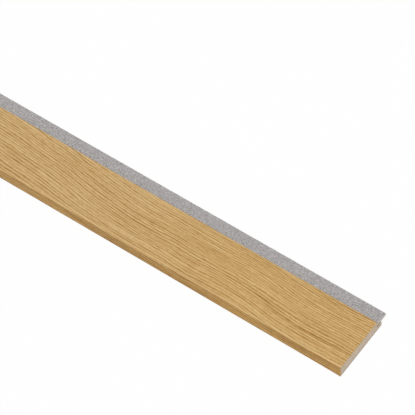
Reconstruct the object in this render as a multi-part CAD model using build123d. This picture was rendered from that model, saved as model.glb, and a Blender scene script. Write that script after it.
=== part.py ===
"""Acoustic panel end trim: a veneered MDF profile with a grooved edge and a strip of felt.

The strip lies on its back. +X runs along its length, +Y across it towards the felt,
and +Z out of the show face. The origin is the middle of its footprint, on the floor.
The section is drawn from the veneered edge, at 0, towards the felt.
"""
from build123d import *
import os

# Driving sizes in millimetres
stock_length = 2400.0
body_thickness = 12.0
face_width = 50.0
veneer_thickness = 0.6
arris_radius = 1.0

# Jointing edge, under and beside the felt
felt_reveal = 12.0
felt_thickness = 1.5
felt_edge_radius = 0.5
lip_thickness = 5.0
lip_reveal = 6.0
lip_chamfer = 0.5
groove_height = 1.5
groove_undercut = 0.7
cheek_thickness = 1.2

# Levels and widths that follow from them
cheek_underside = lip_thickness + groove_height
felt_seat = cheek_underside + cheek_thickness
felt_top = felt_seat + felt_thickness
overall_width = face_width + felt_reveal
groove_root = face_width - groove_undercut
lip_edge = face_width + lip_reveal


def block(left, right, low, high):
    """A rectangle of the section, from its left and right sides and its two levels."""
    return Pos((left + right) / 2, (low + high) / 2) * Rectangle(right - left, high - low)


def slat_outline(inset):
    """The slat's section, drawn back from its show faces by the inset, with eased arrises."""
    outline = block(inset, face_width - inset, 0, body_thickness - inset)
    top_corners = outline.vertices().sort_by(Axis.Y)[-2:]
    return fillet(top_corners, arris_radius - inset)


def along_strip(section):
    """Runs a section the whole length of the strip, centred on its footprint."""
    centred = Plane.YZ * Pos(-overall_width / 2, 0) * section
    return extrude(centred, amount=stock_length / 2, dir=(1, 0, 0), both=True)


def profile_section():
    """The routed MDF: the slat, its thin cheek, its lip and the groove between them."""
    jointing_edge = block(face_width - veneer_thickness, overall_width, 0, felt_seat)
    groove = block(groove_root, overall_width, lip_thickness, cheek_underside)
    below_cheek = block(lip_edge, overall_width, 0, lip_thickness)
    section = slat_outline(veneer_thickness) + jointing_edge - groove - below_cheek
    lip_corner = section.vertices().sort_by_distance((lip_edge, lip_thickness))[0]
    return chamfer(lip_corner, lip_chamfer)


def veneer_section():
    """The veneer, bent over both arrises, down one edge and down the step to the felt's seat."""
    wrap = slat_outline(0) - slat_outline(veneer_thickness)
    return wrap - block(face_width - veneer_thickness, face_width, 0, felt_seat)


def felt_section():
    """The felt strip, from the veneered step to the cheek's edge, soft along its open arris."""
    strip = block(face_width, overall_width, felt_seat, felt_top)
    open_arris = strip.vertices().sort_by_distance((overall_width, felt_top))[0]
    return fillet(open_arris, felt_edge_radius)


pieces = {
    "mdf_profile": along_strip(profile_section()),
    "oak_veneer": along_strip(veneer_section()),
    "felt_strip": along_strip(felt_section()),
}

os.makedirs("parts", exist_ok=True)
for name, piece in pieces.items():
    export_step(piece, f"parts/{name}.step")
    print(name, f"{piece.volume:.0f} cubic mm")
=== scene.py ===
import math
import bpy
from mathutils import Matrix, Vector


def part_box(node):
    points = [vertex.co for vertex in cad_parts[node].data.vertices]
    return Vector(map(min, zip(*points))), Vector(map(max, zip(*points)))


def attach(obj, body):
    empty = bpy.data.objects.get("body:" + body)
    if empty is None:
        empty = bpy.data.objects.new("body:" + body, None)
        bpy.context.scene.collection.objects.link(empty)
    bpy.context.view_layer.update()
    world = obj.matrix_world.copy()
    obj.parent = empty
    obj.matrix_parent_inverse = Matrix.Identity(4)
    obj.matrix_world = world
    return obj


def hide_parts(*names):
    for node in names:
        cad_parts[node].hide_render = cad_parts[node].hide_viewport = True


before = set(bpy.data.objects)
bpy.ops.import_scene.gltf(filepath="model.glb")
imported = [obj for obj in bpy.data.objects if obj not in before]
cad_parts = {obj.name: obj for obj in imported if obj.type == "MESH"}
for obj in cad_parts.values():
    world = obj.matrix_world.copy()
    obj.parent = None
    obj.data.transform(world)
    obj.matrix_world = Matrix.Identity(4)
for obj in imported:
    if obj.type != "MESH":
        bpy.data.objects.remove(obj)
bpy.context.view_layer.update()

print("the packed strip is loaded:", sorted(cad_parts))

mm = 0.001  # sizes in millimetres are turned to metres with this

# places that several pieces share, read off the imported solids
boardLow, boardHigh = (Vector(corner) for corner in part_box("mdf_profile"))
veneerLow, veneerHigh = (Vector(corner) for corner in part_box("oak_veneer"))
feltLow, feltHigh = (Vector(corner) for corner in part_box("felt_strip"))
halfLength = veneerHigh.x


# small helpers that work in shader trees and geometry trees alike

def addNode(tree, kind, **settings):
    node = tree.nodes.new(kind)
    for name, value in settings.items():
        setattr(node, name, value)
    return node


def feed(tree, socket, source):
    # a socket takes a link or a plain value
    if isinstance(source, bpy.types.NodeSocket):
        tree.links.new(source, socket)
    else:
        socket.default_value = source


def calc(tree, operation, *sources):
    node = addNode(tree, "ShaderNodeMath", operation=operation)
    for socket, source in zip(node.inputs, sources):
        feed(tree, socket, source)
    return node.outputs[0]


def point(tree, x, y, z=0.0):
    node = addNode(tree, "ShaderNodeCombineXYZ")
    for socket, source in zip(node.inputs, (x, y, z)):
        feed(tree, socket, source)
    return node.outputs[0]


def parts(tree, vector):
    # the x, y and z of a vector
    node = addNode(tree, "ShaderNodeSeparateXYZ")
    tree.links.new(vector, node.inputs[0])
    return node.outputs


def scaled(tree, vector, factor):
    node = addNode(tree, "ShaderNodeVectorMath", operation="SCALE")
    tree.links.new(vector, node.inputs[0])
    feed(tree, node.inputs["Scale"], factor)
    return node.outputs[0]


def noise(tree, vector, detail=1.0, roughness=0.5):
    # one noise cell for each unit of the vector, values near 0 to 1
    node = addNode(tree, "ShaderNodeTexNoise")
    feed(tree, node.inputs["Vector"], vector)
    feed(tree, node.inputs["Scale"], 1.0)
    feed(tree, node.inputs["Detail"], detail)
    feed(tree, node.inputs["Roughness"], roughness)
    return node.outputs[0]


def stretchedNoise(tree, along, across, cell, where, detail=1.0, roughness=0.5):
    # cells of their own length and breadth; where keeps one noise apart from the next
    length, breadth = cell
    spot = point(tree, calc(tree, "DIVIDE", along, length), calc(tree, "DIVIDE", across, breadth), where)
    return noise(tree, spot, detail, roughness)


def fromMiddle(tree, value):
    # a noise as a swing about 0
    return calc(tree, "SUBTRACT", value, 0.5)


def between(tree, value, low, high, toLow=0.0, toHigh=1.0):
    # eases a value from one range into another, and holds it at both ends
    node = addNode(tree, "ShaderNodeMapRange", interpolation_type="SMOOTHSTEP")
    for name, source in (("Value", value), ("From Min", low), ("From Max", high),
                         ("To Min", toLow), ("To Max", toHigh)):
        feed(tree, node.inputs[name], source)
    return node.outputs["Result"]


def within(tree, value, low, high, soft):
    # 1 from low to high, fading to 0 over the soft width on either side
    return calc(tree, "MULTIPLY", between(tree, value, low - soft, low),
                between(tree, value, high, high + soft, 1.0, 0.0))


def screenColour(red, green, blue):
    # a colour as a screen shows it, 0 to 255, turned to scene light
    def linear(part):
        part = part / 255
        return part / 12.92 if part <= 0.04045 else ((part + 0.055) / 1.055) ** 2.4
    return (linear(red), linear(green), linear(blue), 1.0)


def ramp(tree, value, colours, places):
    # places says where each of the named colours lies on the scale of the value
    node = addNode(tree, "ShaderNodeValToRGB")
    feed(tree, node.inputs[0], value)
    marks = node.color_ramp.elements
    while len(marks) < len(places):
        marks.new(0.5)
    for mark, (name, place) in zip(marks, places.items()):
        mark.position = place
        mark.color = screenColour(*colours[name])
    return node.outputs[0]


def tint(tree, kind, amount, under, over):
    node = addNode(tree, "ShaderNodeMix", data_type="RGBA", blend_type=kind)
    feed(tree, node.inputs[0], amount)
    feed(tree, node.inputs[6], under)
    feed(tree, node.inputs[7], over)
    return node.outputs[2]


def newFinish(name):
    finish = bpy.data.materials.new(name)
    finish.use_nodes = True
    tree = finish.node_tree
    tree.nodes.clear()
    shader = addNode(tree, "ShaderNodeBsdfPrincipled")
    output = addNode(tree, "ShaderNodeOutputMaterial")
    tree.links.new(shader.outputs[0], output.inputs["Surface"])
    return finish, tree, shader


def addBump(tree, shader, height, depth, strength):
    bump = addNode(tree, "ShaderNodeBump")
    feed(tree, bump.inputs["Height"], height)
    bump.inputs["Distance"].default_value = depth
    bump.inputs["Strength"].default_value = strength
    tree.links.new(bump.outputs[0], shader.inputs["Normal"])


def placeInMillimetres(tree):
    coordinates = addNode(tree, "ShaderNodeTexCoord")
    place = scaled(tree, coordinates.outputs["Object"], 1 / mm)
    return place, parts(tree, place)


# The oak veneer: one sheet bent over the near arris, the face and the step

oakSettings = {
    "thickness": veneerHigh.z - boardHigh.z,
    "arris": 1.0 * mm,            # outer radius of both bends
    "bendPoints": 6,
    "pointGap": 0.5 * mm,         # between points across the show side
    "gluedPointGap": 10.0 * mm,   # between points across the glued side
    "stationGap": 6.0 * mm,       # between points along the sheet
    "reliefDepth": 0.03 * mm,     # how far the hard latewood stands proud
    "sawnRagged": 0.06 * mm,      # how uneven the cut ends are
    "sawnTooth": 0.9 * mm,        # and the size of one tooth in them
    # the grain, in plain millimetres along and across the sheet; its flow is a line's own place across
    "grain": {
        "flowFrom": -5.5,                 # the flow at the near edge's foot, before the leans
        # where the lines lean towards the near edge: how far, from and to
        "leans": ((9.5, 775.0, 985.0), (6.0, 905.0, 1005.0), (3.5, 1100.0, 1180.0)),
        "ripple": (0.9, 112.0, 1088.0),   # by the cut end: its height, its length and its crest
        "rippleGrows": (1020.0, 1060.0),
        "wander": (6.0, 330.0, 120.0),    # how far, and the size of one wave along and across
        "sway": (5.0, 90.0, 30.0),
        "tremble": (1.6, 20.0, 3.5),
        "ringGap": 2.85,
        "ringsCloseIn": 0.0013,           # how the rings crowd together towards the felt
        "ringsUneven": (1.8, 9.0),        # by how many rings they stray, and over what breadth
        "lineDarkens": (0.30, 0.72),      # the part of a ring over which its latewood line sets in
        "lineEnds": (0.82, 1.0),
        "lineStrengths": (0.62, 1.0),     # from the faintest ring to the strongest
        "lineLife": (130.0, 0.65, 1.1),   # a line comes and goes over this length, between these shares
        "streaks": (60.0, 1.2),           # the length and breadth of one, as in the next five
        "broad": (260.0, 8.0),
        "dabs": (8.0, 1.15),
        "hairs": (9.0, 0.11),
        "pores": (3.6, 0.2),
        "flecks": (2.6, 0.8),
        "fleckSlant": 0.55,
        "warmer": (940.0, 1120.0),        # between these the wood grows a little warmer
        # rings that stand out: place in the flow, half width, where they start, how much paler
        "markedRings": ((38.3, 0.75, 1070.0, -0.42), (57.0, 0.6, 1060.0, 0.3)),
        "markedGrows": 60.0,
        # the edge band and the painted highlight along the arris, measured from where the bend meets the
        # flat face
        "edgeBand": (-1.3, -0.6),
        "arrisHighlightFrom": (-1.4, -0.5),
        "arrisHighlightTo": (0.2, 1.6),
        # the pores thin out from a ring's border to its middle, in parts of a ring and down to a share
        "poreShift": 0.1,
        "poresThin": (0.05, 0.42),
        "poresFewest": 0.25,
    },
    # how strongly each part of the grain shows
    "shares": {
        "ground": 0.79,        # tone between the lines, where 0 is latewood and 1 is the lightest wood
        "line": -0.56,
        "streaks": 1.25,
        "dabs": 0.85,
        "broad": 0.35,
        "edgeContrast": 0.9,   # how much stronger the grain gets on the edge band, about its middle tone
        "edgeMiddle": 0.6,
        "hairs": 0.55,
        "pores": 0.62,
        "flecks": 0.10,
        # strength of the highlight painted along the arris
        "arrisHighlight": 0.45,
    },
    # a pattern sets in as its noise, near 0 to 1, passes from the first number to the second
    "cuts": {
        "ownStrength": (0.35, 0.65),
        "life": (0.3, 0.68),
        "pores": (0.585, 0.65),
        "flecks": (0.62, 0.76),
    },
    "colours": {
        "latewood": (154, 112, 60),
        "dark": (173, 133, 77),
        "middle": (199, 163, 109),
        "light": (217, 185, 134),
        "darkHair": (168, 168, 168),
        "paleHair": (210, 210, 210),
        "pore": (122, 79, 36),
        "fleck": (235, 205, 160),
        "edge": (255, 243, 213),
        "warm": (255, 252, 241),
    },
    "woodTones": {"latewood": 0.0, "dark": 0.28, "middle": 0.62, "light": 1.0},
    "hairTones": {"darkHair": 0.3, "paleHair": 0.7},
    "surface": {
        "gloss": 0.12,
        "roughness": 0.42,
        "streakRoughness": 0.22,
        "poreRoughness": 0.2,
        "lineHeight": 0.35,
        "streakHeight": 0.5,
        "hairHeight": 0.25,
        "poreHeight": -0.9,
        "bumpDepth": 0.06 * mm,
        "bumpStrength": 0.7,
    },
}


def wave(tree, along, across, sizes, where):
    far, length, breadth = sizes
    swing = fromMiddle(tree, stretchedNoise(tree, along, across, (length, breadth), where))
    return calc(tree, "MULTIPLY", swing, far)


def grainFlow(tree, along, across):
    # every line of the grain keeps one value of the flow, so what changes it bends them all
    grain = oakSettings["grain"]
    flow = calc(tree, "ADD", across, grain["flowFrom"])
    for far, leanFrom, leanTo in grain["leans"]:
        flow = calc(tree, "ADD", between(tree, along, leanFrom, leanTo, 0.0, far), flow)
    high, length, crest = grain["ripple"]
    turn = calc(tree, "MULTIPLY", calc(tree, "SUBTRACT", along, crest), 2 * math.pi / length)
    ripple = between(tree, along, *grain["rippleGrows"], 0.0, -high)
    flow = calc(tree, "MULTIPLY_ADD", calc(tree, "COSINE", turn), ripple, flow)
    for name, where in (("wander", 3.7), ("sway", 8.1), ("tremble", 1.3)):
        flow = calc(tree, "ADD", flow, wave(tree, along, across, grain[name], where))
    return flow


def ringLines(tree, along, flow):
    # the latewood line of each ring, and the place within the ring
    grain, cuts = oakSettings["grain"], oakSettings["cuts"]
    stray, breadth = grain["ringsUneven"]
    uneven = noise(tree, point(tree, 0.0, calc(tree, "DIVIDE", flow, breadth), 5.0), 2.0)
    crowd = calc(tree, "MULTIPLY_ADD", flow, grain["ringsCloseIn"], 1 / grain["ringGap"])
    ring = calc(tree, "MULTIPLY_ADD", uneven, stray, calc(tree, "MULTIPLY", flow, crowd))
    phase = calc(tree, "FRACT", ring)
    number = calc(tree, "FLOOR", ring)
    line = calc(tree, "MULTIPLY", between(tree, phase, *grain["lineDarkens"]),
                between(tree, phase, *grain["lineEnds"], 1.0, 0.0))
    # each ring has a strength of its own, which changes along it
    own = noise(tree, point(tree, 0.5, calc(tree, "MULTIPLY", number, 0.73), 11.0))
    strength = between(tree, own, *cuts["ownStrength"], *grain["lineStrengths"])
    line = calc(tree, "MULTIPLY", line, strength)
    length, faint, strong = grain["lineLife"]
    life = stretchedNoise(tree, along, number, (length, 1.0), 2.0, 2.0)
    return calc(tree, "MULTIPLY", line, between(tree, life, *cuts["life"], faint, strong)), phase


def markedRings(tree, along, flow):
    grain, marked = oakSettings["grain"], 0.0
    for place, half, starts, paler in grain["markedRings"]:
        apart = calc(tree, "ABSOLUTE", calc(tree, "SUBTRACT", flow, place))
        near = calc(tree, "MULTIPLY", between(tree, apart, half * 0.3, half, 1.0, 0.0),
                    between(tree, along, starts, starts + grain["markedGrows"], 0.0, paler))
        marked = calc(tree, "ADD", marked, near)
    return marked


def oakTone(tree, along, flow, line, streaks):
    grain, shares = oakSettings["grain"], oakSettings["shares"]
    tone = calc(tree, "ADD", markedRings(tree, along, flow), shares["ground"])
    tone = calc(tree, "MULTIPLY_ADD", line, shares["line"], tone)
    dabs = stretchedNoise(tree, along, flow, grain["dabs"], 14.0, 2.0, 0.6)
    broad = stretchedNoise(tree, along, flow, grain["broad"], 9.0, 2.0)
    for pattern, name in ((streaks, "streaks"), (dabs, "dabs"), (broad, "broad")):
        tone = calc(tree, "MULTIPLY_ADD", fromMiddle(tree, pattern), shares[name], tone)
    return tone


def openPores(tree, along, flow, phase):
    # short dark dashes, mostly in the early wood
    grain, cuts = oakSettings["grain"], oakSettings["cuts"]
    dashes = between(tree, stretchedNoise(tree, along, flow, grain["pores"], 4.0), *cuts["pores"])
    fromBorder = calc(tree, "PINGPONG", calc(tree, "ADD", phase, grain["poreShift"]), 0.5)
    early = between(tree, fromBorder, *grain["poresThin"], 1.0, grain["poresFewest"])
    return calc(tree, "MULTIPLY", dashes, early)


def rayFlecks(tree, along, across):
    # small pale dashes that cross the grain at a slant
    grain, cuts = oakSettings["grain"], oakSettings["cuts"]
    slant = calc(tree, "MULTIPLY_ADD", along, grain["fleckSlant"], across)
    return between(tree, stretchedNoise(tree, slant, along, grain["flecks"], 7.0), *cuts["flecks"])


def oakFinish():
    grain, shares = oakSettings["grain"], oakSettings["shares"]
    colours, surface = oakSettings["colours"], oakSettings["surface"]
    finish, tree, shader = newFinish("lacquered oak veneer")
    sheetMap = addNode(tree, "ShaderNodeUVMap", uv_map="grain")
    place = parts(tree, sheetMap.outputs[0])
    along = calc(tree, "DIVIDE", place[0], mm)
    across = calc(tree, "DIVIDE", place[1], mm)
    flow = grainFlow(tree, along, across)
    line, phase = ringLines(tree, along, flow)
    streaks = stretchedNoise(tree, along, flow, grain["streaks"], 6.0, 3.0, 0.6)
    tone = oakTone(tree, along, flow, line, streaks)
    # the grain is stronger on the edge band
    arrisEnd = oakSettings["arris"] / mm * (math.pi / 2 - 1) + (veneerHigh.z / mm)
    bandFull, bandEnds = (arrisEnd + far for far in grain["edgeBand"])
    band = between(tree, across, bandFull, bandEnds, 1.0, 0.0)
    contrast = calc(tree, "MULTIPLY", band, shares["edgeContrast"])
    tone = calc(tree, "MULTIPLY_ADD", calc(tree, "SUBTRACT", tone, shares["edgeMiddle"]), contrast, tone)
    wood = ramp(tree, tone, colours, oakSettings["woodTones"])
    # fine fibres run everywhere
    hairs = stretchedNoise(tree, along, flow, grain["hairs"], 21.0, 2.0)
    wood = tint(tree, "OVERLAY", shares["hairs"], wood,
                ramp(tree, hairs, colours, oakSettings["hairTones"]))
    pores = openPores(tree, along, flow, phase)
    wood = tint(tree, "MIX", calc(tree, "MULTIPLY", pores, shares["pores"]), wood,
                screenColour(*colours["pore"]))
    flecks = rayFlecks(tree, along, across)
    wood = tint(tree, "SCREEN", calc(tree, "MULTIPLY", flecks, shares["flecks"]), wood,
                screenColour(*colours["fleck"]))
    wood = tint(tree, "MULTIPLY", between(tree, along, *grain["warmer"]), wood,
                screenColour(*colours["warm"]))
    # the edge band takes the stain deeper, and a highlight is painted along the arris
    wood = tint(tree, "MULTIPLY", band, wood, screenColour(*colours["edge"]))
    arrisHighlightFrom = (arrisEnd + far for far in grain["arrisHighlightFrom"])
    arrisHighlightTo = (arrisEnd + far for far in grain["arrisHighlightTo"])
    arrisHighlight = calc(tree, "MULTIPLY", between(tree, across, *arrisHighlightFrom),
                  between(tree, across, *arrisHighlightTo, 1.0, 0.0))
    wood = tint(tree, "MIX", calc(tree, "MULTIPLY", arrisHighlight, shares["arrisHighlight"]), wood,
                screenColour(*colours["light"]))
    feed(tree, shader.inputs["Base Color"], wood)
    shader.inputs["Specular IOR Level"].default_value = surface["gloss"]
    rough = calc(tree, "MULTIPLY_ADD", streaks, surface["streakRoughness"], surface["roughness"])
    rough = calc(tree, "MULTIPLY_ADD", pores, surface["poreRoughness"], rough)
    feed(tree, shader.inputs["Roughness"], rough)
    height = calc(tree, "MULTIPLY", streaks, surface["streakHeight"])
    for pattern, name in ((line, "lineHeight"), (hairs, "hairHeight"), (pores, "poreHeight")):
        height = calc(tree, "MULTIPLY_ADD", pattern, surface[name], height)
    addBump(tree, shader, height, surface["bumpDepth"], surface["bumpStrength"])
    return finish


def arcPoints(centreY, centreZ, radius, fromAngle, toAngle, count):
    step = (toAngle - fromAngle) / count
    angles = [fromAngle + step * index for index in range(count + 1)]
    return [(centreY + radius * math.cos(a), centreZ + radius * math.sin(a)) for a in angles]


def evenPoints(start, end, gap):
    count = max(1, round(math.dist(start, end) / gap))
    return [tuple(a + (b - a) * index / count for a, b in zip(start, end)) for index in range(1, count)]


def bentLine(inset, gap):
    # the sheet's line in section, at an inset from its show side, from the near edge's foot to the felt
    left, right, top = veneerLow.y + inset, veneerHigh.y - inset, veneerHigh.z - inset
    radius = oakSettings["arris"] - inset
    near = arcPoints(left + radius, top - radius, radius, math.pi, math.pi / 2, oakSettings["bendPoints"])
    far = arcPoints(right - radius, top - radius, radius, math.pi / 2, 0.0, oakSettings["bendPoints"])
    foot, seat = (left, veneerLow.z), (right, feltLow.z)
    return ([foot] + evenPoints(foot, near[0], gap) + near + evenPoints(near[-1], far[0], gap)
            + far + evenPoints(far[-1], seat, gap) + [seat])


def lengthsAlong(points):
    total, lengths = 0.0, [0.0]
    for before, after in zip(points, points[1:]):
        total += math.dist(before, after)
        lengths.append(total)
    return lengths


def sectionLoop(name, points, across, show):
    # a closed loop in its own plane, with its place across the sheet and whether it lies on the show side
    # a sweep along +X turns its section half a turn, so the section is drawn turned as well,
    # and it runs backwards, which faces the skin outwards
    corners = [(-y, -z, 0.0) for y, z in reversed(points)]
    edges = [(index, (index + 1) % len(points)) for index in range(len(points))]
    loop = bpy.data.meshes.new(name)
    loop.from_pydata(corners, edges, [])
    for label, values in (("across", across), ("show", show)):
        layer = loop.attributes.new(label, "FLOAT", "POINT")
        layer.data.foreach_set("value", values[::-1])
    piece = bpy.data.objects.new(name, loop)
    bpy.context.scene.collection.objects.link(piece)
    return piece


def namedValue(tree, label):
    node = addNode(tree, "GeometryNodeInputNamedAttribute", data_type="FLOAT")
    node.inputs["Name"].default_value = label
    return node.outputs["Attribute"]


def chance(tree, low, high, seed):
    # an even random number for each point or instance
    node = addNode(tree, "FunctionNodeRandomValue", data_type="FLOAT")
    sockets = [socket for socket in node.inputs if socket.enabled]
    for socket, source in zip(sockets, (low, high)):
        feed(tree, socket, source)
    node.inputs["Seed"].default_value = seed
    return next(socket for socket in node.outputs if socket.enabled)


def newGroup(name, settings):
    tree = bpy.data.node_groups.new(name, "GeometryNodeTree")
    tree.interface.new_socket("Geometry", in_out="INPUT", socket_type="NodeSocketGeometry")
    for label, kind in settings.items():
        tree.interface.new_socket(label, in_out="INPUT", socket_type=kind)
    tree.interface.new_socket("Geometry", in_out="OUTPUT", socket_type="NodeSocketGeometry")
    return tree, addNode(tree, "NodeGroupInput"), addNode(tree, "NodeGroupOutput")


def finishGroup(tree, geometry, start, end):
    real = addNode(tree, "GeometryNodeRealizeInstances")
    feed(tree, real.inputs[0], geometry)
    painted = addNode(tree, "GeometryNodeSetMaterial")
    feed(tree, painted.inputs["Geometry"], real.outputs[0])
    feed(tree, painted.inputs["Material"], start.outputs["Finish"])
    tree.links.new(painted.outputs[0], end.inputs[0])


sweepInputs = {
    "Length": "NodeSocketFloat",
    "Station gap": "NodeSocketFloat",
    "Relief": "NodeSocketFloat",
    "Ragged": "NodeSocketFloat",
    "Finish": "NodeSocketMaterial",
}
crispFold = math.radians(35)   # folds sharper than this keep a crisp edge


def straightLine(tree, half):
    # a line along X, from -half to half
    line = addNode(tree, "GeometryNodeCurvePrimitiveLine")
    feed(tree, line.inputs["Start"], point(tree, calc(tree, "MULTIPLY", half, -1.0), 0.0))
    feed(tree, line.inputs["End"], point(tree, half, 0.0))
    return line.outputs[0]


def sweepTree(name, relief):
    # sweeps the section along the strip, raises its relief and maps it; relief is a function of the tree
    tree, start, end = newGroup(name, sweepInputs)
    rail = straightLine(tree, calc(tree, "DIVIDE", start.outputs["Length"], 2.0))
    stations = addNode(tree, "GeometryNodeResampleCurve", mode="LENGTH")
    feed(tree, stations.inputs["Curve"], rail)
    feed(tree, stations.inputs["Length"], start.outputs["Station gap"])
    section = addNode(tree, "GeometryNodeMeshToCurve")
    feed(tree, section.inputs[0], start.outputs["Geometry"])
    sweep = addNode(tree, "GeometryNodeCurveToMesh")
    feed(tree, sweep.inputs["Curve"], stations.outputs[0])
    feed(tree, sweep.inputs["Profile Curve"], section.outputs[0])
    sweep.inputs["Fill Caps"].default_value = True
    place = parts(tree, addNode(tree, "GeometryNodeInputPosition").outputs[0])
    across = namedValue(tree, "across")
    grainMap = addNode(tree, "GeometryNodeStoreNamedAttribute", data_type="FLOAT2", domain="CORNER")
    feed(tree, grainMap.inputs["Geometry"], sweep.outputs[0])
    grainMap.inputs["Name"].default_value = "grain"
    feed(tree, grainMap.inputs["Value"], point(tree, place[0], across))
    raised = addNode(tree, "GeometryNodeSetPosition")
    feed(tree, raised.inputs["Geometry"], grainMap.outputs[0])
    feed(tree, raised.inputs["Offset"], relief(tree, start, place, across))
    soft = addNode(tree, "GeometryNodeSetShadeSmooth", domain="FACE")
    feed(tree, soft.inputs["Geometry"], raised.outputs[0])
    fold = addNode(tree, "GeometryNodeInputMeshEdgeAngle")
    crisp = addNode(tree, "GeometryNodeSetShadeSmooth", domain="EDGE")
    feed(tree, crisp.inputs["Geometry"], soft.outputs[0])
    feed(tree, crisp.inputs["Selection"], calc(tree, "GREATER_THAN", fold.outputs[0], crispFold))
    crisp.inputs["Shade Smooth"].default_value = False
    finishGroup(tree, crisp.outputs[0], start, end)
    return tree


def outwardBy(tree, distance):
    # a push along the skin's normal, on the show side alone
    shown = calc(tree, "MULTIPLY", distance, namedValue(tree, "show"))
    return scaled(tree, addNode(tree, "GeometryNodeInputNormal").outputs[0], shown)


def sawnEnds(tree, offset, place, across, ragged, tooth):
    # adds a small uneven draw back to an offset, within half a millimetre of either end of the strip
    atEnd = calc(tree, "GREATER_THAN", calc(tree, "ABSOLUTE", place[0]), halfLength - 0.5 * mm)
    nibble = noise(tree, point(tree, calc(tree, "DIVIDE", across, tooth), place[0]), 2.0)
    nibble = calc(tree, "MULTIPLY", calc(tree, "MULTIPLY", nibble, ragged), atEnd)
    inward = calc(tree, "MULTIPLY", calc(tree, "SIGN", place[0]), -1.0)
    both = addNode(tree, "ShaderNodeVectorMath", operation="ADD")
    feed(tree, both.inputs[0], offset)
    feed(tree, both.inputs[1], point(tree, calc(tree, "MULTIPLY", nibble, inward), 0.0))
    return both.outputs[0]


def bakePiece(name, base, tree, values):
    # runs the tree on the base, keeps the result as a plain mesh and drops the base
    modifier = base.modifiers.new(tree.name, "NODES")
    modifier.node_group = tree
    for socket in tree.interface.items_tree:
        if socket.in_out == "INPUT" and socket.name in values:
            modifier[socket.identifier] = values[socket.name]
    graph = bpy.context.evaluated_depsgraph_get()
    shaped = base.evaluated_get(graph)
    mesh = bpy.data.meshes.new_from_object(shaped, preserve_all_data_layers=True, depsgraph=graph)
    base.modifiers.remove(modifier)
    bpy.data.objects.remove(base)
    mesh.name = name
    piece = bpy.data.objects.new(name, mesh)
    bpy.context.scene.collection.objects.link(piece)
    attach(piece, "root")
    print(name, "has", len(mesh.polygons), "faces")
    return piece


def oakRelief(tree, start, place, across):
    # the latewood stands proud on the show side, and the sawn ends are a little uneven
    along = calc(tree, "DIVIDE", place[0], mm)
    flow = grainFlow(tree, along, calc(tree, "DIVIDE", across, mm))
    line = ringLines(tree, along, flow)[0]
    proud = calc(tree, "MULTIPLY", calc(tree, "SUBTRACT", line, 1.0), start.outputs["Relief"])
    return sawnEnds(tree, outwardBy(tree, proud), place, across, start.outputs["Ragged"],
                    oakSettings["sawnTooth"])


def makeVeneer():
    outer = bentLine(0.0, oakSettings["pointGap"])
    inner = bentLine(oakSettings["thickness"], oakSettings["gluedPointGap"])
    outerAcross, innerAcross = lengthsAlong(outer), lengthsAlong(inner)
    stretch = outerAcross[-1] / innerAcross[-1]
    across = outerAcross + [part * stretch for part in innerAcross][::-1]
    show = [1.0] * len(outer) + [0.0] * len(inner)
    base = sectionLoop("veneer section", outer + inner[::-1], across, show)
    values = {"Length": 2 * halfLength, "Station gap": oakSettings["stationGap"],
              "Relief": oakSettings["reliefDepth"], "Ragged": oakSettings["sawnRagged"],
              "Finish": oakFinish()}
    piece = bakePiece("oakVeneerWrap", base, sweepTree("bent veneer", oakRelief), values)
    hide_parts("oak_veneer")


makeVeneer()
print("the oak veneer is wrapped over the board")


# The felt: a bonded strip with a matted surface, and fibres that have worked loose from it

feltSettings = {
    "softEdge": 0.6 * mm,      # radius of the open arris
    "bendPoints": 5,
    "pointGap": 0.4 * mm,      # between points across the strip
    "stationGap": 3.0 * mm,    # between points along it
    "lumps": 0.07 * mm,        # how uneven the matted surface is
    "lumpSize": 5.0 * mm,
    "ragged": 0.25 * mm,       # how uneven the sheared ends are
    "tuft": 0.5 * mm,          # and the size of one tuft in them
    # the mat's pattern, in plain millimetres
    "mat": {
        "mottle": 1.3,            # size of a patch
        "fuzz": 0.22,
        "directions": 9,          # the fibres drawn in the mat run this many ways
        "reach": 4.0,             # between wriggles along a fibre
        "apart": 0.62,            # between neighbours that run the same way
        "thin": 0.03,             # how narrow a band of the noise draws one
        "fadesIn": (0.38, 0.6),   # the values of a second noise between which it comes to show
        "curl": 1.8,              # how far a fibre strays, and over what length
        "curlSize": 2.4,
        "sheared": (0.45, 0.2),   # depths between which the sheared ends turn paler
    },
    "shares": {
        "mottle": 0.7,
        "fuzz": 0.5,
        "paler": 0.32,            # every other direction of fibres is paler, and the rest are darker
        "darker": -0.23,
        "shearedPaler": 0.35,
        "fuzzHeight": 0.6,
        "fibreHeight": 0.5,
    },
    "colours": {
        "dark": (114, 110, 110),
        "middle": (170, 166, 165),
        "light": (218, 215, 214),
    },
    "tones": {"dark": 0.15, "middle": 0.5, "light": 0.85},
    "surface": {
        "roughness": 0.95,
        "gloss": 0.2,
        "sheen": 0.25,
        "bumpDepth": 0.15 * mm,
        "bumpStrength": 0.8,
    },
}

fibreSettings = {
    "length": 3.4 * mm,
    "lengthShares": (0.45, 1.3),   # of the shortest and the longest
    "width": 0.036 * mm,
    "curl": 1.5 * mm,
    "curlSize": 1.3 * mm,
    "flatness": 0.12,              # how much of the curl goes up and down
    "lift": 0.04 * mm,
    "margin": 1.8 * mm,            # within this of an edge the fibres get shorter,
    "atEdge": 0.28,                # down to this share
    "bends": 10,
    "perLayer": 10400,
    "shades": (0.16, 0.87),
    # each layer lies a little higher and more loosely than the one before
    "layers": {
        "mattedFibres": {"seed": 3, "tilt": 0.03, "lifts": 1.0},
        "crossedFibres": {"seed": 11, "tilt": 0.08, "lifts": 1.6},
    },
}


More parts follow.
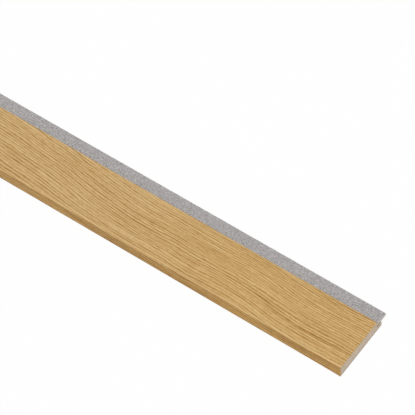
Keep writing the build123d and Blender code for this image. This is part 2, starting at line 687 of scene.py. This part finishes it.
def drawnFibres(tree, place, angle, where):
    # long wavy lines that run one way: a fibre lies wherever a stretched noise passes its middle value
    mat = feltSettings["mat"]
    x, y, z = place
    run = calc(tree, "MULTIPLY_ADD", x, math.cos(angle), calc(tree, "MULTIPLY", y, math.sin(angle)))
    over = calc(tree, "MULTIPLY_ADD", y, math.cos(angle), calc(tree, "MULTIPLY", x, -math.sin(angle)))
    size, reach, apart = mat["curlSize"], mat["reach"], mat["apart"]
    curl = fromMiddle(tree, stretchedNoise(tree, run, over, (size, size), where))
    over = calc(tree, "MULTIPLY_ADD", curl, mat["curl"], over)
    level = calc(tree, "MULTIPLY_ADD", z, 1 / apart, where)
    field = stretchedNoise(tree, run, over, (reach, apart), level, 0.0)
    offLine = calc(tree, "ABSOLUTE", fromMiddle(tree, field))
    line = between(tree, offLine, 0.0, mat["thin"], 1.0, 0.0)
    shown = stretchedNoise(tree, run, over, (reach / 2, apart), where + 3.0, 0.0)
    return calc(tree, "MULTIPLY", line, between(tree, shown, *mat["fadesIn"]))


def matPattern(tree):
    # the pad's tone and the height of its nap
    mat, shares = feltSettings["mat"], feltSettings["shares"]
    place, (x, y, z) = placeInMillimetres(tree)
    mottle = noise(tree, scaled(tree, place, 1 / mat["mottle"]), 2.0, 0.6)
    fuzz = noise(tree, scaled(tree, place, 1 / mat["fuzz"]), 3.0, 0.7)
    tone = calc(tree, "MULTIPLY_ADD", fromMiddle(tree, mottle), shares["mottle"], 0.5)
    tone = calc(tree, "MULTIPLY_ADD", fromMiddle(tree, fuzz), shares["fuzz"], tone)
    height = calc(tree, "MULTIPLY", fuzz, shares["fuzzHeight"])
    for index in range(mat["directions"]):
        fibre = drawnFibres(tree, (x, y, z), math.pi * index / mat["directions"], 7.3 * index)
        tone = calc(tree, "MULTIPLY_ADD", fibre, shares["darker" if index % 2 else "paler"], tone)
        height = calc(tree, "MULTIPLY_ADD", fibre, shares["fibreHeight"], height)
    # the sheared ends show fresh, paler fibres
    shallow, deep = (halfLength / mm - depth for depth in mat["sheared"])
    sheared = between(tree, calc(tree, "ABSOLUTE", x), shallow, deep)
    return calc(tree, "MULTIPLY_ADD", sheared, shares["shearedPaler"], tone), height


def feltFinish(name, fromFibres):
    # the pad is mottled by place, and each loose fibre has a shade of its own
    surface = feltSettings["surface"]
    finish, tree, shader = newFinish(name)
    if fromFibres:
        tone = addNode(tree, "ShaderNodeAttribute", attribute_name="shade").outputs["Fac"]
    else:
        tone, height = matPattern(tree)
        addBump(tree, shader, height, surface["bumpDepth"], surface["bumpStrength"])
    grey = ramp(tree, tone, feltSettings["colours"], feltSettings["tones"])
    feed(tree, shader.inputs["Base Color"], grey)
    shader.inputs["Roughness"].default_value = surface["roughness"]
    shader.inputs["Specular IOR Level"].default_value = surface["gloss"]
    shader.inputs["Sheen Weight"].default_value = surface["sheen"]
    return finish


def feltRelief(tree, start, place, across):
    # the matted surface is lumpy, and its sheared ends are ragged
    spot = addNode(tree, "GeometryNodeInputPosition").outputs[0]
    lumps = noise(tree, scaled(tree, spot, 1 / feltSettings["lumpSize"]), 2.0, 0.6)
    lumps = calc(tree, "MULTIPLY", calc(tree, "SUBTRACT", lumps, 0.55), start.outputs["Relief"])
    lumps = calc(tree, "MULTIPLY", lumps, 2.0)
    return sawnEnds(tree, outwardBy(tree, lumps), place, across, start.outputs["Ragged"],
                    feltSettings["tuft"])


def makeFelt():
    left, right, low, high = feltLow.y, feltHigh.y, feltLow.z, feltHigh.z
    radius, gap = feltSettings["softEdge"], feltSettings["pointGap"]
    corner = arcPoints(right - radius, high - radius, radius, math.pi / 2, 0.0, feltSettings["bendPoints"])
    top = [(left, high)] + evenPoints((left, high), corner[0], gap) + corner
    points = top + evenPoints(corner[-1], (right, low), gap) + [(right, low), (left, low)]
    show = [1.0] * (len(points) - 2) + [0.0, 0.0]
    base = sectionLoop("felt section", points, lengthsAlong(points), show)
    values = {"Length": 2 * halfLength, "Station gap": feltSettings["stationGap"],
              "Relief": feltSettings["lumps"], "Ragged": feltSettings["ragged"],
              "Finish": feltFinish("grey felt", False)}
    piece = bakePiece("greyFeltStrip", base, sweepTree("matted strip", feltRelief), values)
    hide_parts("felt_strip")
    return piece


fibreInputs = {
    "Density": "NodeSocketFloat",
    "Fibre length": "NodeSocketFloat",
    "Fibre width": "NodeSocketFloat",
    "Curl": "NodeSocketFloat",
    "Lift": "NodeSocketFloat",
    "Tilt": "NodeSocketFloat",
    "Margin": "NodeSocketFloat",
    "Seed": "NodeSocketInt",
    "Finish": "NodeSocketMaterial",
}


def scatteredLines(tree, start):
    # short straight lines over the show side of the mesh, each turned, tilted, sized and shaded by chance
    scatter = addNode(tree, "GeometryNodeDistributePointsOnFaces", distribute_method="RANDOM")
    feed(tree, scatter.inputs["Mesh"], start.outputs["Geometry"])
    feed(tree, scatter.inputs["Selection"], calc(tree, "GREATER_THAN", namedValue(tree, "show"), 0.5))
    feed(tree, scatter.inputs["Density"], start.outputs["Density"])
    feed(tree, scatter.inputs["Seed"], start.outputs["Seed"])
    straight = straightLine(tree, calc(tree, "DIVIDE", start.outputs["Fibre length"], 2.0))
    bends = addNode(tree, "GeometryNodeResampleCurve", mode="COUNT")
    feed(tree, bends.inputs["Curve"], straight)
    bends.inputs["Count"].default_value = fibreSettings["bends"]
    tilt = start.outputs["Tilt"]
    tilted = chance(tree, calc(tree, "MULTIPLY", tilt, -1.0), tilt, 2)
    turnBy = addNode(tree, "FunctionNodeEulerToRotation")
    feed(tree, turnBy.inputs[0], point(tree, 0.0, tilted, chance(tree, -math.pi, math.pi, 3)))
    turn = addNode(tree, "FunctionNodeRotateRotation", rotation_space="LOCAL")
    feed(tree, turn.inputs["Rotation"], scatter.outputs["Rotation"])
    feed(tree, turn.inputs["Rotate By"], turnBy.outputs[0])
    home = parts(tree, addNode(tree, "GeometryNodeInputPosition").outputs[0])
    inFromEdge = calc(tree, "MINIMUM", calc(tree, "SUBTRACT", home[1], feltLow.y),
                      calc(tree, "SUBTRACT", feltHigh.y, home[1]))
    shorter = between(tree, inFromEdge, 0.0, start.outputs["Margin"], fibreSettings["atEdge"], 1.0)
    stretch = calc(tree, "MULTIPLY", chance(tree, *fibreSettings["lengthShares"], 4), shorter)
    spread = addNode(tree, "GeometryNodeInstanceOnPoints")
    feed(tree, spread.inputs["Points"], scatter.outputs["Points"])
    feed(tree, spread.inputs["Instance"], bends.outputs[0])
    feed(tree, spread.inputs["Rotation"], turn.outputs[0])
    feed(tree, spread.inputs["Scale"], point(tree, stretch, 1.0, 1.0))
    shaded = addNode(tree, "GeometryNodeStoreNamedAttribute", data_type="FLOAT", domain="INSTANCE")
    feed(tree, shaded.inputs["Geometry"], spread.outputs[0])
    shaded.inputs["Name"].default_value = "shade"
    feed(tree, shaded.inputs["Value"], chance(tree, *fibreSettings["shades"], 5))
    real = addNode(tree, "GeometryNodeRealizeInstances")
    feed(tree, real.inputs[0], shaded.outputs[0])
    return real.outputs[0]


def curled(tree, lines, start):
    # a fine noise through space bends each fibre its own way, mostly flat on the felt
    swirl = addNode(tree, "ShaderNodeTexNoise")
    spot = addNode(tree, "GeometryNodeInputPosition").outputs[0]
    feed(tree, swirl.inputs["Vector"], scaled(tree, spot, 1 / fibreSettings["curlSize"]))
    swirl.inputs["Scale"].default_value = 1.0
    swirl.inputs["Detail"].default_value = 0.0
    centred = addNode(tree, "ShaderNodeVectorMath", operation="SUBTRACT")
    feed(tree, centred.inputs[0], swirl.outputs["Color"])
    centred.inputs[1].default_value = (0.5, 0.5, 0.5)
    push = scaled(tree, centred.outputs[0], calc(tree, "MULTIPLY", start.outputs["Curl"], 2.0))
    flat = addNode(tree, "ShaderNodeVectorMath", operation="MULTIPLY_ADD")
    feed(tree, flat.inputs[0], push)
    flat.inputs[1].default_value = (1.0, 1.0, fibreSettings["flatness"])
    feed(tree, flat.inputs[2], point(tree, 0.0, 0.0, start.outputs["Lift"]))
    bent = addNode(tree, "GeometryNodeSetPosition")
    feed(tree, bent.inputs["Geometry"], lines)
    feed(tree, bent.inputs["Offset"], flat.outputs[0])
    return bent.outputs[0]


def fibreTree(name):
    # turns the curled lines over the mesh that the modifier is on into narrow flat ribbons
    tree, start, end = newGroup(name, fibreInputs)
    lines = curled(tree, scatteredLines(tree, start), start)
    level = addNode(tree, "GeometryNodeSetCurveNormal", mode="Z_UP")
    feed(tree, level.inputs["Curve"], lines)
    blade = straightLine(tree, calc(tree, "DIVIDE", start.outputs["Fibre width"], 2.0))
    ribbon = addNode(tree, "GeometryNodeCurveToMesh")
    feed(tree, ribbon.inputs["Curve"], level.outputs[0])
    feed(tree, ribbon.inputs["Profile Curve"], blade)
    finishGroup(tree, ribbon.outputs[0], start, end)
    return tree


def makeFibres(name, felt, finish):
    layer = fibreSettings["layers"][name]
    base = bpy.data.objects.new(name + "Base", felt.data.copy())
    bpy.context.scene.collection.objects.link(base)
    showArea = 2 * halfLength * (feltHigh.y - feltLow.y + feltHigh.z - feltLow.z)
    values = {"Density": fibreSettings["perLayer"] / showArea, "Fibre length": fibreSettings["length"],
              "Fibre width": fibreSettings["width"], "Curl": fibreSettings["curl"],
              "Lift": fibreSettings["lift"] * layer["lifts"], "Tilt": layer["tilt"],
              "Margin": fibreSettings["margin"], "Seed": layer["seed"], "Finish": finish}
    bakePiece(name, base, fibreTree(name), values)


feltStrip = makeFelt()
fibreFinish = feltFinish("felt fibres", True)
for layerName in fibreSettings["layers"]:
    makeFibres(layerName, feltStrip, fibreFinish)
print("the felt strip has its loose fibres")


# The board: raw MDF, with its sawn ends, routed groove and lip

boardSettings = {
    # the first ten are in plain millimetres
    "lip": 5.0,                # level of the groove's floor
    "groove": 1.5,             # height of the groove
    "undercut": 0.7,           # how far it runs in under the face
    "fluff": (0.9, 0.2),       # a pressed fibre lies flat: its size along the faces and through the board
    "specks": 0.14,
    "clouds": 6.0,
    "backDarkening": (0.4, 2.2),        # the board's darkening towards its back fades out between these levels
    "touch": 0.01,             # how far past the groove's walls its painted shade reaches
    "grooveShade": (3.0, 5.5),   # the painted shade in the groove fades between these distances from its root
    "sawMarks": (0.35, 14.0),  # breadth and height of a mark on a sawn end
    "shares": {
        "specks": 0.3,
        "clouds": 0.3,
        "backDarkening": 0.85,
        # how much of the groove's painted shade is left at its mouth
        "grooveShadeAtMouth": 0.3,
        "sawMarkHeight": 0.6,
    },
    "colours": {
        "speck": (187, 167, 143),
        "board": (215, 197, 175),
        "fibre": (229, 212, 192),
        "backDarkening": (176, 158, 138),
        # the painted shade inside the groove
        "grooveShade": (150, 131, 108),
    },
    "tones": {"speck": 0.25, "board": 0.5, "fibre": 0.75},
    "surface": {
        "roughness": 0.88,
        "bumpDepth": 0.12 * mm,
        "bumpStrength": 0.7,
    },
}


def paintedGrooveShade(tree, y, z):
    # painted shade in the groove: 1 on its floor, roof and root, fading towards its mouth
    lip, groove, touch = (boardSettings[name] for name in ("lip", "groove", "touch"))
    root = veneerHigh.y / mm - boardSettings["undercut"]
    fades, faded = (root + far for far in boardSettings["grooveShade"])
    inLevel = within(tree, z, lip - touch, lip + groove + touch, 2 * touch)
    inDepth = calc(tree, "MULTIPLY", between(tree, y, root - 4 * touch, root - 2 * touch),
                   between(tree, y, fades, faded, 1.0, boardSettings["shares"]["grooveShadeAtMouth"]))
    return calc(tree, "MULTIPLY", inLevel, inDepth)


def boardFinish():
    shares, colours, surface = (boardSettings[name] for name in ("shares", "colours", "surface"))
    finish, tree, shader = newFinish("raw sawn board")
    place, (x, y, z) = placeInMillimetres(tree)
    spread, thick = boardSettings["fluff"]
    fluff = noise(tree, point(tree, calc(tree, "DIVIDE", x, spread), calc(tree, "DIVIDE", y, spread),
                              calc(tree, "DIVIDE", z, thick)), 3.0, 0.6)
    specks = noise(tree, scaled(tree, place, 1 / boardSettings["specks"]), 1.0)
    clouds = noise(tree, scaled(tree, place, 1 / boardSettings["clouds"]), 2.0)
    tone = calc(tree, "MULTIPLY_ADD", fromMiddle(tree, clouds), shares["clouds"], fluff)
    tone = calc(tree, "MULTIPLY_ADD", fromMiddle(tree, specks), shares["specks"], tone)
    board = ramp(tree, tone, colours, boardSettings["tones"])
    # the board is darker towards its back face, and shade is painted into the groove
    backDarkening = between(tree, z, *boardSettings["backDarkening"], shares["backDarkening"], 0.0)
    board = tint(tree, "MIX", backDarkening, board, screenColour(*colours["backDarkening"]))
    board = tint(tree, "MIX", paintedGrooveShade(tree, y, z), board, screenColour(*colours["grooveShade"]))
    feed(tree, shader.inputs["Base Color"], board)
    shader.inputs["Roughness"].default_value = surface["roughness"]
    # saw marks stand upright on the ends
    sawMarks = stretchedNoise(tree, y, z, boardSettings["sawMarks"], x, 2.0)
    height = calc(tree, "MULTIPLY_ADD", sawMarks, shares["sawMarkHeight"], fluff)
    addBump(tree, shader, height, surface["bumpDepth"], surface["bumpStrength"])
    return finish


def dressBoard():
    finish = boardFinish()
    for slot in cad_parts["mdf_profile"].material_slots:
        slot.material = finish


dressBoard()
print("the board has its raw finish")


# The stage: a pale floor, soft light and the camera

stageSizes = {
    "floorHalf": 30.0,
    "floorGrey": 0.82,      # how much light the floor throws back
    "shadowShare": 0.04,    # how much of the floor's own shading the camera sees
    "skyStrength": 0.44,
    "lampStrength": 1.78,
    "lampSoftness": 50.0,   # in degrees
    "lampTurn": (math.radians(-6), math.radians(10)),   # leaned back, and towards the cut end
}

cameraSizes = {
    "azimuth": 39.953,
    "elevation": 55.420,
    "roll": -4.931,
    "lens": 238.23,
    "sensor": 36,
    "farthest": 100,
    "distance": 2183.2 * mm,
    "inFromCutEnd": 175.5 * mm,   # the point looked at, on the floor
    "inFromNearEdge": 69.8 * mm,
}


def whiteToCamera(tree, shaded, share):
    # seen by the camera and in gloss the surface is plain white, but for a little of its own shading
    path = addNode(tree, "ShaderNodeLightPath")
    seen = calc(tree, "MAXIMUM", path.outputs["Is Camera Ray"],
                calc(tree, "MAXIMUM", path.outputs["Is Glossy Ray"], path.outputs["Is Transmission Ray"]))
    white = addNode(tree, "ShaderNodeEmission")
    white.inputs["Strength"].default_value = 1.0
    mix = addNode(tree, "ShaderNodeMixShader")
    feed(tree, mix.inputs[0], calc(tree, "MULTIPLY", seen, 1 - share))
    tree.links.new(shaded, mix.inputs[1])
    tree.links.new(white.outputs[0], mix.inputs[2])
    return mix.outputs[0]


def makeFloor():
    half = stageSizes["floorHalf"]
    corners = [(-half, -half, 0), (half, -half, 0), (half, half, 0), (-half, half, 0)]
    mesh = bpy.data.meshes.new("studioFloor")
    mesh.from_pydata(corners, [], [(0, 1, 2, 3)])
    floor = bpy.data.objects.new("studioFloor", mesh)
    bpy.context.scene.collection.objects.link(floor)
    finish = bpy.data.materials.new("pale floor")
    finish.use_nodes = True
    tree = finish.node_tree
    tree.nodes.clear()
    diffuse = addNode(tree, "ShaderNodeBsdfDiffuse")
    grey = stageSizes["floorGrey"]
    diffuse.inputs[0].default_value = (grey, grey, grey, 1)
    output = addNode(tree, "ShaderNodeOutputMaterial")
    seen = whiteToCamera(tree, diffuse.outputs[0], stageSizes["shadowShare"])
    tree.links.new(seen, output.inputs["Surface"])
    mesh.materials.append(finish)


def makeLight():
    world = bpy.data.worlds.new("soft studio")
    world.use_nodes = True
    tree = world.node_tree
    tree.nodes.clear()
    path = addNode(tree, "ShaderNodeLightPath")
    sky = addNode(tree, "ShaderNodeBackground")
    sky.inputs["Color"].default_value = (1, 1, 1, 1)
    strength = stageSizes["skyStrength"]
    feed(tree, sky.inputs["Strength"],
         calc(tree, "MULTIPLY_ADD", path.outputs["Is Camera Ray"], 1 - strength, strength))
    output = addNode(tree, "ShaderNodeOutputWorld")
    tree.links.new(sky.outputs[0], output.inputs["Surface"])
    bpy.context.scene.world = world
    lamp = bpy.data.lights.new("softLamp", "SUN")
    lamp.energy = stageSizes["lampStrength"]
    lamp.angle = math.radians(stageSizes["lampSoftness"])
    holder = bpy.data.objects.new("softLamp", lamp)
    leanBack, leanRight = stageSizes["lampTurn"]
    holder.rotation_euler = (-leanBack, leanRight, 0)
    bpy.context.scene.collection.objects.link(holder)


def makeCamera():
    azimuth, elevation, roll = (math.radians(cameraSizes[name]) for name in ("azimuth", "elevation", "roll"))
    back = Vector((math.sin(azimuth) * math.cos(elevation), -math.cos(azimuth) * math.cos(elevation),
                   math.sin(elevation)))
    right = Vector((math.cos(azimuth), math.sin(azimuth), 0))
    up = back.cross(right)
    turnedRight = right * math.cos(roll) + up * math.sin(roll)
    turnedUp = up * math.cos(roll) - right * math.sin(roll)
    lookAt = Vector((halfLength - cameraSizes["inFromCutEnd"],
                     veneerLow.y + cameraSizes["inFromNearEdge"], 0))
    lens = bpy.data.cameras.new("photoCamera")
    lens.lens = cameraSizes["lens"]
    lens.sensor_width = cameraSizes["sensor"]
    lens.clip_end = cameraSizes["farthest"]
    camera = bpy.data.objects.new("photoCamera", lens)
    turned = Matrix((turnedRight, turnedUp, back)).transposed()
    camera.matrix_world = Matrix.Translation(lookAt + back * cameraSizes["distance"]) @ turned.to_4x4()
    bpy.context.scene.collection.objects.link(camera)
    bpy.context.scene.camera = camera


makeFloor()
makeLight()
makeCamera()
bpy.context.scene.view_settings.view_transform = "Standard"
print("the stage is set")
